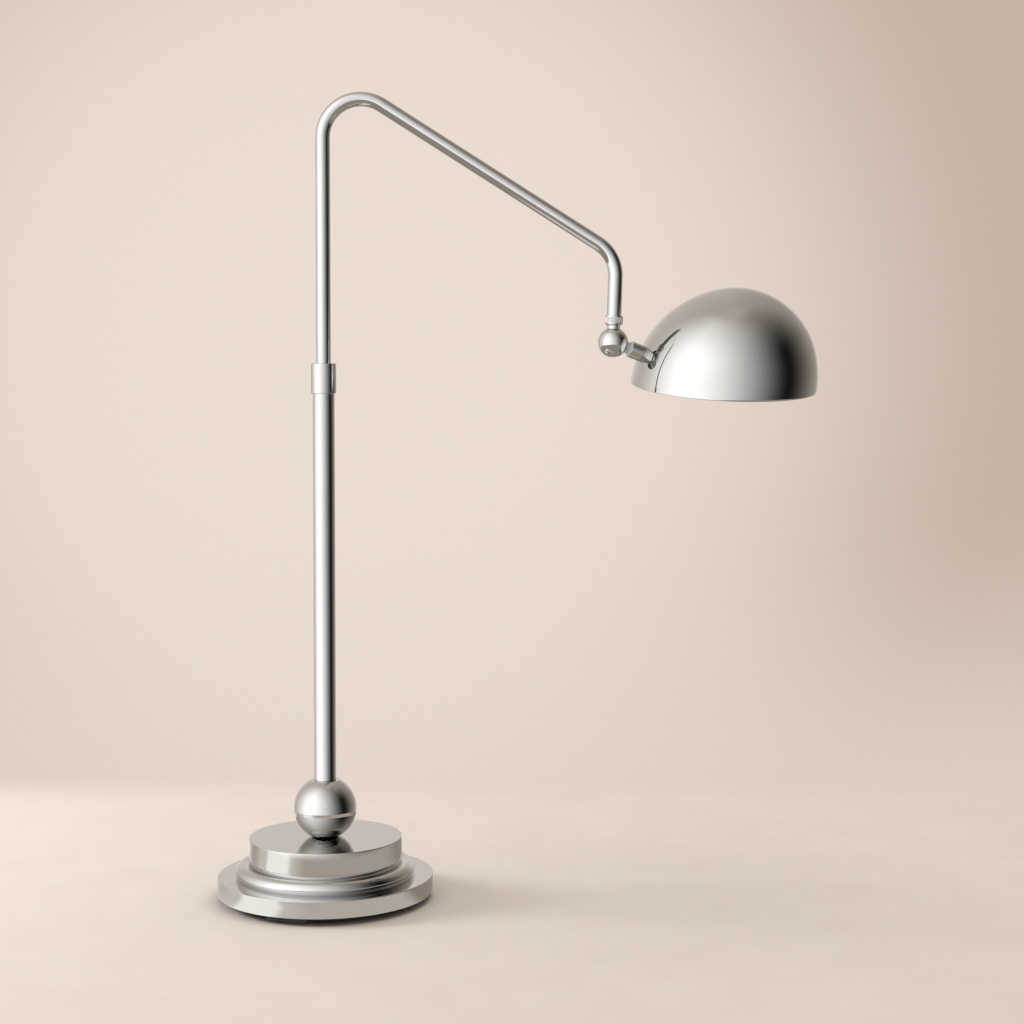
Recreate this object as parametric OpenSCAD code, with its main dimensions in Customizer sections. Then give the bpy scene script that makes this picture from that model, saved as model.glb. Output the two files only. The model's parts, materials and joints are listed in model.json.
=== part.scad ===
// Desk lamp: a weighted stepped base, a telescopic post, a bent arm and a dome shade on a ball knuckle.
// Millimetres. +Z is up, the origin lies on the table under the post, and the arm reaches along +X.

/* [Lower disc and feet] */
// Gap between the table and the rim of the lower disc
rim_gap = 6.2; // [4:0.2:12]
// Radius of the lower disc
lower_r = 93; // [90:1:120]
// Height of the lower disc
lower_h = 14.5; // [14:0.5:24]
// Wall of the lower disc
lower_wall = 1.5; // [1:0.1:2]
// Radius of the hole in the top of the lower disc
lower_hole_r = 60; // [56:1:66]
// Depth of the bottom plate inside the rim
plate_recess = 1; // [0.5:0.1:1.5]
// Thickness of the bottom plate
plate_t = 1.5; // [1:0.1:2]
// Inner radius of the foot ring
foot_in_r = 60; // [54:1:70]
// Outer radius of the foot ring between its lobes
foot_out_r = 78; // [74:1:82]
// Radius that the four lobes of the foot ring reach
lobe_r = 86; // [84:0.5:88]
// Arc of each lobe, in degrees
lobe_arc = 25; // [10:1:60]
// Direction of the first lobe, in degrees
lobe_turn = 71.5; // [0:0.5:90]

/* [Base weight and its fasteners] */
// Radius of the boss on the base weight
boss_r = 46; // [30:1:50]
// Radius of the pocket under the base weight
pocket_r = 16; // [13:1:24]
// Depth of the pocket under the base weight
pocket_depth = 9; // [8.5:0.1:10]
// Radius of the circle of plate screws
screw_circle_r = 44; // [30:1:48]
// Shank radius of a plate screw
plate_screw_r = 2; // [1.5:0.25:2.5]
// Shank length of a plate screw
plate_screw_len = 7; // [5:0.5:9]
// Bore radius of the cord grommet
grommet_bore_r = 3; // [2:0.1:3]
// Wall of the cord grommet
grommet_wall = 1; // [0.8:0.1:1]
// Thickness of each flange of the grommet
grommet_flange_t = 1.5; // [1:0.1:2.5]

/* [Bead ring and upper disc] */
// Outer radius of the bead ring
bead_r = 77.5; // [74:0.5:84]
// Radius of the bead's round
bead_round = 7; // [5:0.5:9]
// Height of the bead's centre above the lower disc
bead_lift = 4; // [2:0.5:6]
// Height of the bead ring
bead_h = 13.9; // [12:0.1:24]
// Bore radius of the bead ring
bead_bore_r = 52; // [51:0.5:54]
// Radius of the upper disc
upper_r = 66; // [62:1:70]
// Height of the upper disc
upper_h = 18.7; // [12:0.1:30]
// Wall of the upper disc
upper_wall = 3; // [2:0.1:5]
// Thickness of the upper disc's top
upper_top_t = 2; // [1.5:0.1:4]
// Depth that the bead ring's neck lies inside the upper disc
neck_inset = 1; // [0.5:0.1:1.5]
// Chamfer on the edges of both discs
edge_chamfer = 0.5; // [0.2:0.1:0.8]

/* [Ball, rod and post] */
// Radius of the big ball
ball_r = 27.25; // [20:0.25:35]
// Radius of the flat under the big ball
ball_foot_r = 11; // [9:0.5:14]
// Radius of the flat on top of the big ball
ball_head_r = 12.5; // [11:0.5:14]
// Radius of the hollow rod
rod_r = 5; // [4:0.5:6]
// Bore radius of the hollow rod
rod_bore_r = 3.5; // [2.5:0.1:3.5]
// Height of the rod's hexagon nut
rod_nut_h = 5; // [3:0.5:5.5]
// Length of the plug in the foot of the post
plug_len = 22; // [12:1:30]
// Outer radius of the post
post_r = 9.525; // [8.5:0.005:10.5]
// Wall of the post
post_wall = 1.2; // [0.8:0.1:1.4]
// Length of the post
post_len = 350.5; // [280:0.5:450]

/* [Collar] */
// Outer radius of the collar
collar_r = 11; // [10.75:0.05:14]
// Length of the collar
collar_len = 25.9; // [24:0.1:40]
// Length of post inside the collar
collar_grip = 15.3; // [8:0.1:16]
// Length of the guide bush below its flange
bush_len = 28; // [15:1:40]
// Thickness of the guide bush's flange
bush_flange_t = 2; // [1:0.1:2.5]
// Height of the grip ring in the collar
grip_ring_h = 3; // [2:0.1:3]

/* [Mast] */
// Outer radius of the mast tube
tube_r = 6.35; // [5.5:0.05:6.75]
// Wall of the mast tube
tube_wall = 1; // [0.8:0.1:1.2]
// Radius of both bends at the tube's centre line
bend_r = 33; // [25:1:50]
// Turn of the first bend, in degrees
bend_1 = 122.6; // [105:0.1:135]
// Turn of the second bend, in degrees
bend_2 = 59.5; // [45:0.1:70]
// Length of straight mast above the collar
mast_out = 194.5; // [180:0.5:260]
// Length of mast inside the collar and the post
mast_in = 163.5; // [120:0.5:200]
// Straight length of the arm between the bends
arm_len = 221; // [120:1:300]
// Straight length of the tube after the second bend
drop_len = 39.8; // [32:0.1:80]
// Height of the slide ring on the foot of the mast
slide_ring_h = 16; // [8:1:24]
// Thickness of each retaining clip
clip_t = 1.2; // [0.8:0.1:1.5]
// Depth of each clip groove in the tube
clip_groove = 0.35; // [0.2:0.05:0.4]

/* [Knuckle] */
// Outer radius of the ferrule
ferrule_r = 7.8; // [7.5:0.1:10]
// Height of the ferrule
ferrule_h = 8.4; // [6:0.1:14]
// Thickness of the ferrule's floor
ferrule_floor = 2; // [1:0.1:3]
// Radius of the knuckle ball
knob_r = 13.15; // [12.5:0.05:16]
// Radius of the ball's neck
neck_r = 5.85; // [5.4:0.05:7]
// Length of the ball's neck
neck_len = 2.8; // [2:0.1:8]
// Radius of the spigot on top of the neck
spigot_r = 4; // [3.5:0.1:4.2]
// Bore radius for the wires in the spigot
wire_bore_r = 2.2; // [1.5:0.1:2.4]
// Length of the bush that holds the spigot
end_bush_len = 14; // [8:0.5:20]
// Thickness of the stem's tongue
tongue_t = 6; // [4:0.1:6.5]
// Half the width of the stem's tongue
tongue_half = 5; // [4:0.1:5.5]
// Radius of the eye at the tongue's end
eye_r = 8.5; // [7.5:0.1:9]
// Thickness of each washer beside the eye
pivot_washer_t = 0.6; // [0.4:0.1:1]
// Shank radius of the pivot screw
pivot_r = 2.5; // [2:0.1:3]
// Radius of the pivot screw's head
pivot_head_r = 4.5; // [4:0.1:5]
// Radius of the barrel on the stem
barrel_r = 7.25; // [6.5:0.05:8.5]
// Distance from the ball's centre to the barrel
barrel_start = 16; // [15.8:0.1:24]
// Length of the barrel
barrel_len = 11.8; // [10:0.1:24]

/* [Head pose] */
// Turn of the head away from the arm, in degrees
head_yaw = 15; // [-60:1:60]
// Slope of the stem below the knuckle's level, in degrees
head_tilt = 18.3; // [0:0.1:30]
// Roll of the shade about the stem, in degrees
shade_roll = 9.8; // [-30:0.1:30]
// Tilt of the stem upwards from this pose, in degrees
tilt_up = 40; // [10:1:40]
// Tilt of the stem downwards from this pose, in degrees
tilt_down = 65; // [20:1:65]

/* [Shade] */
// Widest radius of the dome
dome_r = 79.8; // [78:0.1:100]
// Half the length of the dome along its own axis
dome_h = 89.7; // [80:0.1:110]
// Radius of the round tip of the dome
tip_r = 72; // [60:0.5:76]
// Wall of the shade
shade_wall = 1.2; // [0.8:0.1:2]
// Slope between the stem and the plane of the rim, in degrees
rim_slope = 20.2; // [5:0.1:30]
// Lean of the dome's own axis from the rim's upright, in degrees
dome_skew = 32.6; // [0:0.1:40]
// Thickness of the saddle washer at its middle
saddle_t = 0.8; // [0.8:0.1:2]
// Space left for the wall's curve under the shade nut
nut_seat = 0.9; // [0.85:0.05:1]

/* [Socket and bulb] */
// Radius of the hollow nipple through the shade
nipple_r = 5; // [4.5:0.1:5.5]
// Bore radius of the nipple
nipple_bore_r = 3.2; // [2:0.1:3.4]
// Height of each nut on the nipple
nipple_nut_h = 3; // [2:0.1:4]
// Outer radius of the socket cup
cup_r = 12.5; // [12:0.1:15]
// Wall of the socket cup
cup_wall = 1; // [0.6:0.1:1.2]
// Length of the socket cup
cup_len = 26; // [24:0.5:34]
// Length of the socket insulator
insulator_len = 22; // [19:0.5:28]
// Bore radius of the socket
socket_bore_r = 6.2; // [6.05:0.05:6.5]
// Depth of the socket
socket_depth = 16; // [14:0.5:17]
// Radius of the bulb's screw base
bulb_base_r = 5.95; // [5.5:0.05:6]
// Radius of the bulb's glass
bulb_r = 9.5; // [8:0.5:12]
// Length of the bulb's glass
bulb_len = 36; // [26:1:40]
// Wall of the bulb's glass
bulb_wall = 0.8; // [0.5:0.1:1.2]
// Radius of the switch key's shaft
key_shaft_r = 1.5; // [1:0.1:2]
// Length of the switch key outside the cup
key_reach = 13; // [9:1:18]
// Width of the switch key's grip
key_w = 10; // [6:0.5:12]
// Length of the switch key's grip
key_grip_len = 8; // [5:0.5:8.5]
// Thickness of the switch key's grip
key_grip_t = 2; // [1.5:0.1:3]

/* [Fits] */
// Radial clearance of pieces that turn or slide in each other
run_gap = 0.05; // [0.03:0.01:0.08]
// Radial clearance of pieces that are pressed or screwed together
seat_gap = 0.02; // [0.01:0.01:0.04]
// Play along the axis between pieces that turn against each other
end_play = 0.1; // [0.05:0.05:0.3]
// Clearance around the tongue in the ball's slot
slot_gap = 0.3; // [0.2:0.05:0.5]

/* [Hidden] */
$fn = 96;

// Heights in the base
plate_z = rim_gap + plate_recess;
plate_top = plate_z + plate_t;
ledge_z = rim_gap + lower_h;
weight_top = ledge_z - lower_wall;
bead_top = ledge_z + bead_h;
upper_top = bead_top + upper_h;
plate_r = lower_r - lower_wall - seat_gap;
pocket_top = plate_top + pocket_depth;
inlet_z = (plate_top + weight_top) / 2;
bead_neck_r = upper_r - neck_inset;
locating_step = 1.5;
plate_screw_head_h = 2.4;
grommet_neck_r = grommet_bore_r + grommet_wall;
grommet_flange_r = grommet_neck_r + 1;
grommet_in_y = lower_r - lower_wall - grommet_flange_t;
grommet_len = lower_wall + 2 * grommet_flange_t;

// Heights of the ball, the rod and the post
ball_z = upper_top + sqrt(ball_r ^ 2 - ball_foot_r ^ 2);
post_z = ball_z + sqrt(ball_r ^ 2 - ball_head_r ^ 2);
post_top = post_z + post_len;
post_bore_r = post_r - post_wall;
washer_t = 1.2;
rod_nut_z = pocket_top - washer_t - rod_nut_h;
rod_z = rod_nut_z - 1.2;
rod_top = post_z + plug_len - 1;

// Heights of the collar
collar_z = post_top - collar_grip;
collar_top = collar_z + collar_len;
flange_top = post_top + bush_flange_t;
grip_ring_z = flange_top + 2;
grip_ring_r = tube_r + 2.4;

// Points of the mast's centre line in the XZ plane, each [x, z]
function heading(a) = [sin(a), cos(a)];
function side(a) = [cos(a), -sin(a)];
end_turn = bend_1 + bend_2;
end_lean = end_turn - 180;
mast_z = collar_top - mast_in;
bend_z = collar_top + mast_out;
centre_1 = [bend_r, bend_z];
arm_start = centre_1 - bend_r * side(bend_1);
arm_end = arm_start + arm_len * heading(bend_1);
centre_2 = arm_end + bend_r * side(bend_1);
drop_start = centre_2 - bend_r * side(end_turn);
tip = drop_start + drop_len * heading(end_turn);
slide_ring_z = mast_z + clip_t + 2.5;
bend_swell = 0.02;
bend_lap = 0.5;

// Distances along the neck and the stem of the knuckle
seat_h = sqrt(knob_r ^ 2 - neck_r ^ 2);
neck_top = seat_h + neck_len;
ball_drop = neck_top + end_play + ferrule_floor;
tube_bore_r = tube_r - tube_wall;
spigot_clip_z = ball_drop + end_bush_len + end_play;
spigot_top = spigot_clip_z + clip_t + 1.5;
slot_half = tongue_t / 2 + pivot_washer_t + end_play;
cheek_y = sqrt(knob_r ^ 2 - pivot_head_r ^ 2) - 2.4;
pivot_head_h = 2;
low_chamfer = 1.2;
top_chamfer = 0.4;
flute_count = 30;
flute_r = 0.5;
tongue_spigot_r = 3.5;
tongue_spigot_len = 6;
barrel_end = barrel_start + barrel_len;
nipple_start = barrel_start + tongue_spigot_len + 0.3;

// The dome's outline is a side arc and a tip arc, and the tip arc stands proud by a trace where they meet
side_r = (dome_r ^ 2 + (dome_h - tip_r) ^ 2 - tip_r ^ 2) / (2 * (dome_r - tip_r));
side_x = dome_r - side_r;
tip_y = dome_h - tip_r;
tip_swell = 0.02;
body_lean = dome_skew - rim_slope;
dome_reach = side_x * cos(body_lean) + sqrt(side_r ^ 2 - (side_x * sin(body_lean)) ^ 2);
saddle_x = barrel_end + end_play;
saddle_hollow = 3;
dome_x = saddle_x + saddle_t + dome_reach;

// Distances of the socket's pieces along the stem
nut_flats_r = nipple_r + 2;
shade_nut_x = dome_x - dome_reach + shade_wall + nut_seat;
cup_x = shade_nut_x + nipple_nut_h + 0.1;
cup_nut_x = cup_x + cup_wall;
nipple_end = cup_nut_x + nipple_nut_h + 0.6;
insulator_x = nipple_end + 0.4;
insulator_end = insulator_x + insulator_len;
socket_floor_x = insulator_end - socket_depth;
contact_t = 1;
glass_start = insulator_end + 0.2;
glass_neck_r = bulb_base_r + 0.3;
key_x = cup_x + cup_len / 2;
key_inner_y = cup_r - 3;
key_grip_y = cup_r + key_reach - key_grip_len;

module ring(outer, inner, h) {
    difference() {
        cylinder(r = outer, h = h);
        translate([0, 0, -1]) cylinder(r = inner, h = h + 2);
    }
}

module chamfered(r, h, chamfer) {
    rotate_extrude()
        polygon([[0, 0], [r - chamfer, 0], [r, chamfer], [r, h - chamfer], [r - chamfer, h], [0, h]]);
}

module hex_nut(flats_r, bore, h) {
    difference() {
        cylinder(r = flats_r / cos(30), h = h, $fn = 6);
        translate([0, 0, -1]) cylinder(r = bore, h = h + 2);
    }
}

// Frames of the moving pieces
module at_tip() { translate([tip.x, 0, tip.y]) rotate([0, end_lean, 0]) children(); }
module at_ball() { at_tip() translate([0, 0, -ball_drop]) children(); }
module at_knuckle() { at_ball() rotate([0, 0, head_yaw]) children(); }
module at_head() { at_knuckle() rotate([0, head_tilt, 0]) children(); }
module at_stem(x = 0) { at_head() translate([x, 0, 0]) rotate([0, 90, 0]) children(); }
module at_shade() { at_head() rotate([shade_roll, 0, 0]) children(); }
module on_nipple(x) { at_shade() translate([x, 0, 0]) rotate([0, 90, 0]) children(); }

// Moulded rubber ring with four lobes, glued under the bottom plate
module foot_ring() color("dimgray") {
    ring(foot_out_r, foot_in_r, plate_z);
    for (i = [0:3])
        rotate([0, 0, lobe_turn + i * 90 - lobe_arc / 2])
            rotate_extrude(angle = lobe_arc)
                translate([foot_out_r - 2, 0]) square([lobe_r - foot_out_r + 2, plate_z]);
}

module at_plate_screws() {
    for (a = [30, 150, 270]) rotate([0, 0, a]) translate([screw_circle_r, 0, 0]) children();
}

// Pressed steel plate that closes the base from below
module bottom_plate() color("darkgray") difference() {
    translate([0, 0, plate_z]) cylinder(r = plate_r, h = plate_t);
    at_plate_screws() translate([0, 0, plate_z - 1]) cylinder(r = plate_screw_r + seat_gap, h = plate_t + 2);
}

module plate_screws() color("silver") at_plate_screws() {
    translate([0, 0, plate_z - plate_screw_head_h]) difference() {
        cylinder(r = plate_screw_r * 2, h = plate_screw_head_h);
        translate([-0.5, -plate_screw_r * 2, -1]) cube([1, plate_screw_r * 4, 2]);
    }
    translate([0, 0, plate_z]) cylinder(r = plate_screw_r, h = plate_screw_len);
}

// Cast iron weight with a boss, a pocket for the rod's nut and a channel for the cord
module base_weight() color("gray") difference() {
    union() {
        translate([0, 0, plate_top]) cylinder(r = plate_r, h = weight_top - plate_top);
        translate([0, 0, plate_top]) cylinder(r = boss_r, h = bead_top - plate_top);
    }
    translate([0, 0, plate_top - 1]) cylinder(r = pocket_r, h = pocket_depth + 1);
    cylinder(r = rod_r + seat_gap, h = upper_top);
    translate([-grommet_flange_r - 1, 0, plate_top - 1])
        cube([2 * grommet_flange_r + 2, lower_r, weight_top - plate_top + 1.5]);
    at_plate_screws() cylinder(r = plate_screw_r + seat_gap, h = plate_z + plate_screw_len + 0.5);
}

// Frame of the cord inlet: its +Z runs out through the rear wall, y from the post
module at_inlet(y) { translate([0, y, inlet_z]) rotate([-90, 0, 0]) children(); }

module lower_wall_band() {
    translate([0, 0, rim_gap]) ring(lower_r, lower_r - lower_wall, lower_h);
}

// Rubber grommet in the rear wall of the lower disc, where the cord goes in
module cord_grommet() color("black") difference() {
    at_inlet(grommet_in_y) cylinder(r = grommet_flange_r, h = grommet_len);
    difference() {
        lower_wall_band();
        at_inlet(0) cylinder(r = grommet_neck_r, h = lower_r + 1);
    }
    at_inlet(grommet_in_y - 1) cylinder(r = grommet_bore_r, h = grommet_len + 2);
}

// Spun cover of the base: a flat top with a straight wall
module lower_disc() color("silver") difference() {
    translate([0, 0, rim_gap]) chamfered(lower_r, lower_h, edge_chamfer);
    translate([0, 0, rim_gap - 1]) cylinder(r = lower_r - lower_wall, h = lower_h - lower_wall + 1);
    cylinder(r = lower_hole_r, h = upper_top);
    at_inlet(lower_r / 2) cylinder(r = grommet_neck_r + seat_gap, h = lower_r);
}

// Turned ring with a half-round bead, a neck and a step at each end to centre its neighbours
module bead_ring() color("silver") rotate_extrude() {
    difference() {
        union() {
            translate([bead_r - bead_round, ledge_z + bead_lift]) circle(r = bead_round);
            translate([bead_bore_r, ledge_z]) square([bead_neck_r - bead_bore_r, bead_h]);
            translate([bead_bore_r, ledge_z]) square([bead_r - bead_round - bead_bore_r, bead_lift]);
        }
        translate([bead_bore_r, ledge_z - 2 * bead_round]) square([bead_r, 2 * bead_round]);
    }
    translate([bead_bore_r, weight_top])
        square([lower_hole_r - seat_gap - bead_bore_r, lower_wall]);
    translate([bead_bore_r, bead_top])
        square([upper_r - upper_wall - seat_gap - bead_bore_r, locating_step]);
}

module upper_disc() color("silver") difference() {
    translate([0, 0, bead_top]) chamfered(upper_r, upper_h, edge_chamfer);
    translate([0, 0, bead_top - 1]) cylinder(r = upper_r - upper_wall, h = upper_h - upper_top_t + 1);
    cylinder(r = rod_r + seat_gap, h = upper_top + 1);
}

// Solid ball with a flat where it sits and a flat where the post stands
module big_ball() color("silver") difference() {
    intersection() {
        translate([0, 0, ball_z]) sphere(r = ball_r);
        translate([0, 0, upper_top]) cylinder(r = ball_r + 1, h = post_z - upper_top);
    }
    cylinder(r = rod_r + seat_gap, h = post_z + 1);
}

module rod_washer() color("goldenrod")
    translate([0, 0, pocket_top - washer_t]) ring(rod_r + 5, rod_r + seat_gap, washer_t);

module rod_nut() color("goldenrod")
    translate([0, 0, rod_nut_z]) hex_nut(rod_r + 3.5, rod_r + seat_gap, rod_nut_h);

// Hollow threaded rod that pulls the whole base together
module hollow_rod() color("goldenrod")
    translate([0, 0, rod_z]) ring(rod_r, rod_bore_r, rod_top - rod_z);

module post_plug() color("goldenrod")
    translate([0, 0, post_z]) ring(post_bore_r - seat_gap, rod_r + seat_gap, plug_len);

module post() color("silver")
    translate([0, 0, post_z]) ring(post_r, post_bore_r, post_len);

// Nylon bush in the mouth of the post that guides the mast
module guide_bush() color("ivory") difference() {
    union() {
        translate([0, 0, post_top - bush_len]) cylinder(r = post_bore_r - seat_gap, h = bush_len + 1);
        translate([0, 0, post_top]) cylinder(r = post_r, h = bush_flange_t);
    }
    cylinder(r = tube_r + run_gap, h = flange_top + 1);
}

// Plain collar over the end of the post, with a groove for the grip ring
module collar() color("silver") difference() {
    translate([0, 0, collar_z]) chamfered(collar_r, collar_len, edge_chamfer);
    translate([0, 0, collar_z - 1]) cylinder(r = post_r + seat_gap, h = flange_top - collar_z + 1);
    translate([0, 0, grip_ring_z]) cylinder(r = grip_ring_r + seat_gap, h = grip_ring_h);
    cylinder(r = tube_r + 5 * run_gap, h = collar_top + 1);
}

module grip_ring() color("black")
    translate([0, 0, grip_ring_z]) ring(grip_ring_r, tube_r + run_gap, grip_ring_h);

module slide_ring() color("ivory")
    translate([0, 0, slide_ring_z]) ring(post_bore_r - run_gap, tube_r + run_gap, slide_ring_h);

module at_tube_clips() {
    for (z = [slide_ring_z - end_play - clip_t, slide_ring_z + slide_ring_h + end_play])
        translate([0, 0, z]) children();
}

module tube_clips() color("dimgray")
    at_tube_clips() ring(post_bore_r - 0.5, tube_r - clip_groove + seat_gap, clip_t);

// Section of the tube, its wall thicker by swell on both sides
module tube_section(swell) difference() {
    circle(r = tube_r + swell);
    circle(r = tube_bore_r - swell);
}

// Straight stretch of the tube in the XZ plane from point p along the heading a, let into its bends
module straight(p, a, len, before, after) {
    translate([p.x, 0, p.y]) rotate([0, a, 0]) translate([0, 0, -before])
        linear_extrude(len + before + after) tube_section(0);
}

// Bend in the XZ plane about centre c, from the heading a with the turn t
module bend(c, a, t) {
    translate([c.x, 0, c.y]) rotate([90, 0, 0]) rotate([0, 0, 180 - a - t])
        rotate_extrude(angle = t) translate([bend_r, 0]) tube_section(bend_swell);
}

// One steel tube: upright, first bend, arm, second bend and the straight end that carries the knuckle
module mast_tube() color("silver") difference() {
    union() {
        straight([0, mast_z], 0, bend_z - mast_z, 0, bend_lap);
        bend(centre_1, 0, bend_1);
        straight(arm_start, bend_1, arm_len, bend_lap, bend_lap);
        bend(centre_2, bend_1, bend_2);
        straight(drop_start, end_turn, drop_len, bend_lap, 0);
    }
    at_tube_clips() ring(tube_r + 1, tube_r - clip_groove, clip_t);
}

module end_bush() color("goldenrod")
    at_tip() ring(tube_bore_r - seat_gap, spigot_r + run_gap, end_bush_len);

// Knurled cap on the end of the mast, with shallow flutes between its plain rims
module ferrule() color("silver") at_tip() translate([0, 0, -ferrule_floor]) difference() {
    rotate_extrude()
        polygon([[0, 0], [ferrule_r - low_chamfer, 0], [ferrule_r, low_chamfer],
                 [ferrule_r, ferrule_h - top_chamfer], [ferrule_r - top_chamfer, ferrule_h], [0, ferrule_h]]);
    translate([0, 0, ferrule_floor]) cylinder(r = tube_r + seat_gap, h = ferrule_h);
    translate([0, 0, -1]) cylinder(r = spigot_r + run_gap, h = ferrule_floor + 2);
    for (i = [0:flute_count - 1])
        rotate([0, 0, i * 360 / flute_count]) translate([ferrule_r + flute_r / 2, 0, low_chamfer + 1])
            cylinder(r = flute_r, h = ferrule_h - low_chamfer - top_chamfer - 1.8, $fn = 24);
}

// Slot that lets the tongue swing between its two limits
module tongue_slot() {
    reach = knob_r * 1.5;
    low = -head_tilt - tilt_down;
    high = -head_tilt + tilt_up;
    rotate([90, 0, 0]) linear_extrude(2 * slot_half, center = true) {
        circle(r = eye_r + slot_gap);
        for (a = [low, high])
            rotate(a) translate([0, -tongue_half - slot_gap]) square([reach, 2 * (tongue_half + slot_gap)]);
        polygon([[0, 0], for (a = [low, (low + high) / 2, high]) 1.4 * reach * [cos(a), sin(a)]]);
    }
}

// Turned ball with its neck and the spigot that swings in the end of the mast
module knuckle_ball() color("silver") at_knuckle() difference() {
    union() {
        sphere(r = knob_r);
        cylinder(r = neck_r, h = neck_top);
        cylinder(r = spigot_r, h = spigot_top);
    }
    tongue_slot();
    cylinder(r = wire_bore_r, h = spigot_top + 1);
    translate([0, 0, spigot_clip_z]) ring(spigot_r + 1, spigot_r - clip_groove, clip_t);
    translate([0, -cheek_y, 0]) rotate([-90, 0, 0]) cylinder(r = pivot_r + seat_gap, h = 2 * cheek_y + 1);
    translate([0, cheek_y, 0]) rotate([-90, 0, 0]) cylinder(r = pivot_head_r + seat_gap, h = knob_r);
}

module spigot_clip() color("dimgray") at_knuckle()
    translate([0, 0, spigot_clip_z]) ring(tube_bore_r - 0.3, spigot_r - clip_groove + seat_gap, clip_t);

module pivot_washers() color("ivory") at_knuckle()
    for (y = [-slot_half, slot_half - pivot_washer_t])
        translate([0, y, 0]) rotate([-90, 0, 0]) ring(eye_r - 0.3, pivot_r + seat_gap, pivot_washer_t);

module pivot_screw() color("silver") at_knuckle() rotate([-90, 0, 0]) {
    translate([0, 0, -cheek_y + 0.5]) cylinder(r = pivot_r, h = 2 * cheek_y);
    translate([0, 0, cheek_y]) difference() {
        cylinder(r = pivot_head_r, h = pivot_head_h);
        translate([-pivot_head_r - 1, -0.5, pivot_head_h - 1]) cube([2 * pivot_head_r + 2, 1, 2]);
    }
}

// Flat tongue with an eye, screwed into the barrel
module stem_tongue() color("gray") difference() {
    union() {
        at_stem() rotate([90, 0, 0]) cylinder(r = eye_r, h = tongue_t, center = true);
        at_stem() translate([-tongue_half, -tongue_t / 2, 0]) cube([2 * tongue_half, tongue_t, barrel_start]);
        at_stem(barrel_start) cylinder(r = tongue_spigot_r, h = tongue_spigot_len);
    }
    at_stem() rotate([90, 0, 0]) cylinder(r = pivot_r + run_gap, h = 2 * knob_r, center = true);
}

module barrel() color("silver") at_stem(barrel_start) difference() {
    chamfered(barrel_r, barrel_len, edge_chamfer);
    translate([0, 0, -1]) cylinder(r = tongue_spigot_r + seat_gap, h = tongue_spigot_len + 2);
    translate([0, 0, tongue_spigot_len]) cylinder(r = nipple_r + run_gap, h = barrel_len);
}

// Half outline of the dome, grown by the value in grow, from below its widest place to its tip
module dome_outline(grow) {
    meet_y = tip_y * (side_r + grow) / (side_r - tip_r);
    intersection() {
        union() {
            translate([0, tip_y]) circle(r = tip_r + tip_swell + grow);
            intersection() {
                translate([side_x, 0]) circle(r = side_r + grow);
                translate([0, -meet_y]) square([2 * dome_r, 2 * meet_y]);
            }
        }
        translate([0, -2 * dome_h]) square(4 * dome_h);
    }
}

module dome(grow) {
    translate([dome_x, 0, 0]) rotate([0, body_lean, 0]) rotate_extrude() dome_outline(grow);
}

// Washer whose far face follows the curve of the dome
module saddle_washer() color("silver") difference() {
    on_nipple(saddle_x) ring(barrel_r, nipple_r + seat_gap, saddle_t + saddle_hollow, $fn = 360);
    at_shade() dome(seat_gap, $fn = 360);
}

// Spun dome, trimmed along a plane through its centre
module shade() color("silver") at_shade() difference() {
    intersection() {
        dome(0);
        translate([dome_x, 0, 0]) rotate([0, -rim_slope, 0])
            translate([-2 * dome_h, -2 * dome_h, 0]) cube(4 * dome_h);
    }
    dome(-shade_wall);
    translate([saddle_x, 0, 0]) rotate([0, 90, 0]) cylinder(r = nipple_r + seat_gap, h = dome_reach / 2);
}

module shade_nipple() color("goldenrod")
    on_nipple(nipple_start) ring(nipple_r, nipple_bore_r, nipple_end - nipple_start);

module shade_nut() color("goldenrod")
    on_nipple(shade_nut_x) hex_nut(nut_flats_r, nipple_r + seat_gap, nipple_nut_h);

// Cup that holds the insulator, with a slot for the key's shaft
module socket_cup() color("silver") on_nipple(cup_x) difference() {
    cylinder(r = cup_r, h = cup_len);
    translate([0, 0, cup_wall]) cylinder(r = cup_r - cup_wall, h = cup_len);
    translate([0, 0, -1]) cylinder(r = nipple_r + seat_gap, h = cup_wall + 2);
    translate([0, 0, key_x - cup_x]) rotate([90, 0, 0]) cylinder(r = key_shaft_r + run_gap, h = cup_r + 1);
}

module cup_nut() color("goldenrod")
    on_nipple(cup_nut_x) hex_nut(nut_flats_r, nipple_r + seat_gap, nipple_nut_h);

module socket_insulator() color("white") on_nipple(insulator_x) difference() {
    cylinder(r = cup_r - cup_wall - seat_gap, h = insulator_len);
    translate([0, 0, socket_floor_x - insulator_x]) cylinder(r = socket_bore_r, h = socket_depth + 1);
    translate([0, 0, key_x - insulator_x]) rotate([90, 0, 0])
        translate([0, 0, key_inner_y - 0.3]) cylinder(r = key_shaft_r + run_gap, h = cup_r);
}

module centre_contact() color("goldenrod")
    on_nipple(socket_floor_x) cylinder(r = socket_bore_r / 2, h = contact_t);

module bulb_base() color("silver") on_nipple(socket_floor_x + contact_t)
    cylinder(r = bulb_base_r, h = glass_start - socket_floor_x - contact_t);

module glass_form(wall) {
    round_r = bulb_r - wall;
    neck = glass_neck_r - wall;
    shoulder = 5;
    round_y = bulb_len - bulb_r;
    rotate_extrude() {
        polygon([[0, 0], [neck, 0], [round_r, shoulder], [round_r, round_y], [0, round_y]]);
        intersection() {
            translate([0, round_y]) circle(r = round_r);
            translate([0, round_y]) square(bulb_r);
        }
    }
}

module bulb_glass() color("white") on_nipple(glass_start) difference() {
    glass_form(0);
    translate([0, 0, -0.01]) glass_form(bulb_wall);
}

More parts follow.
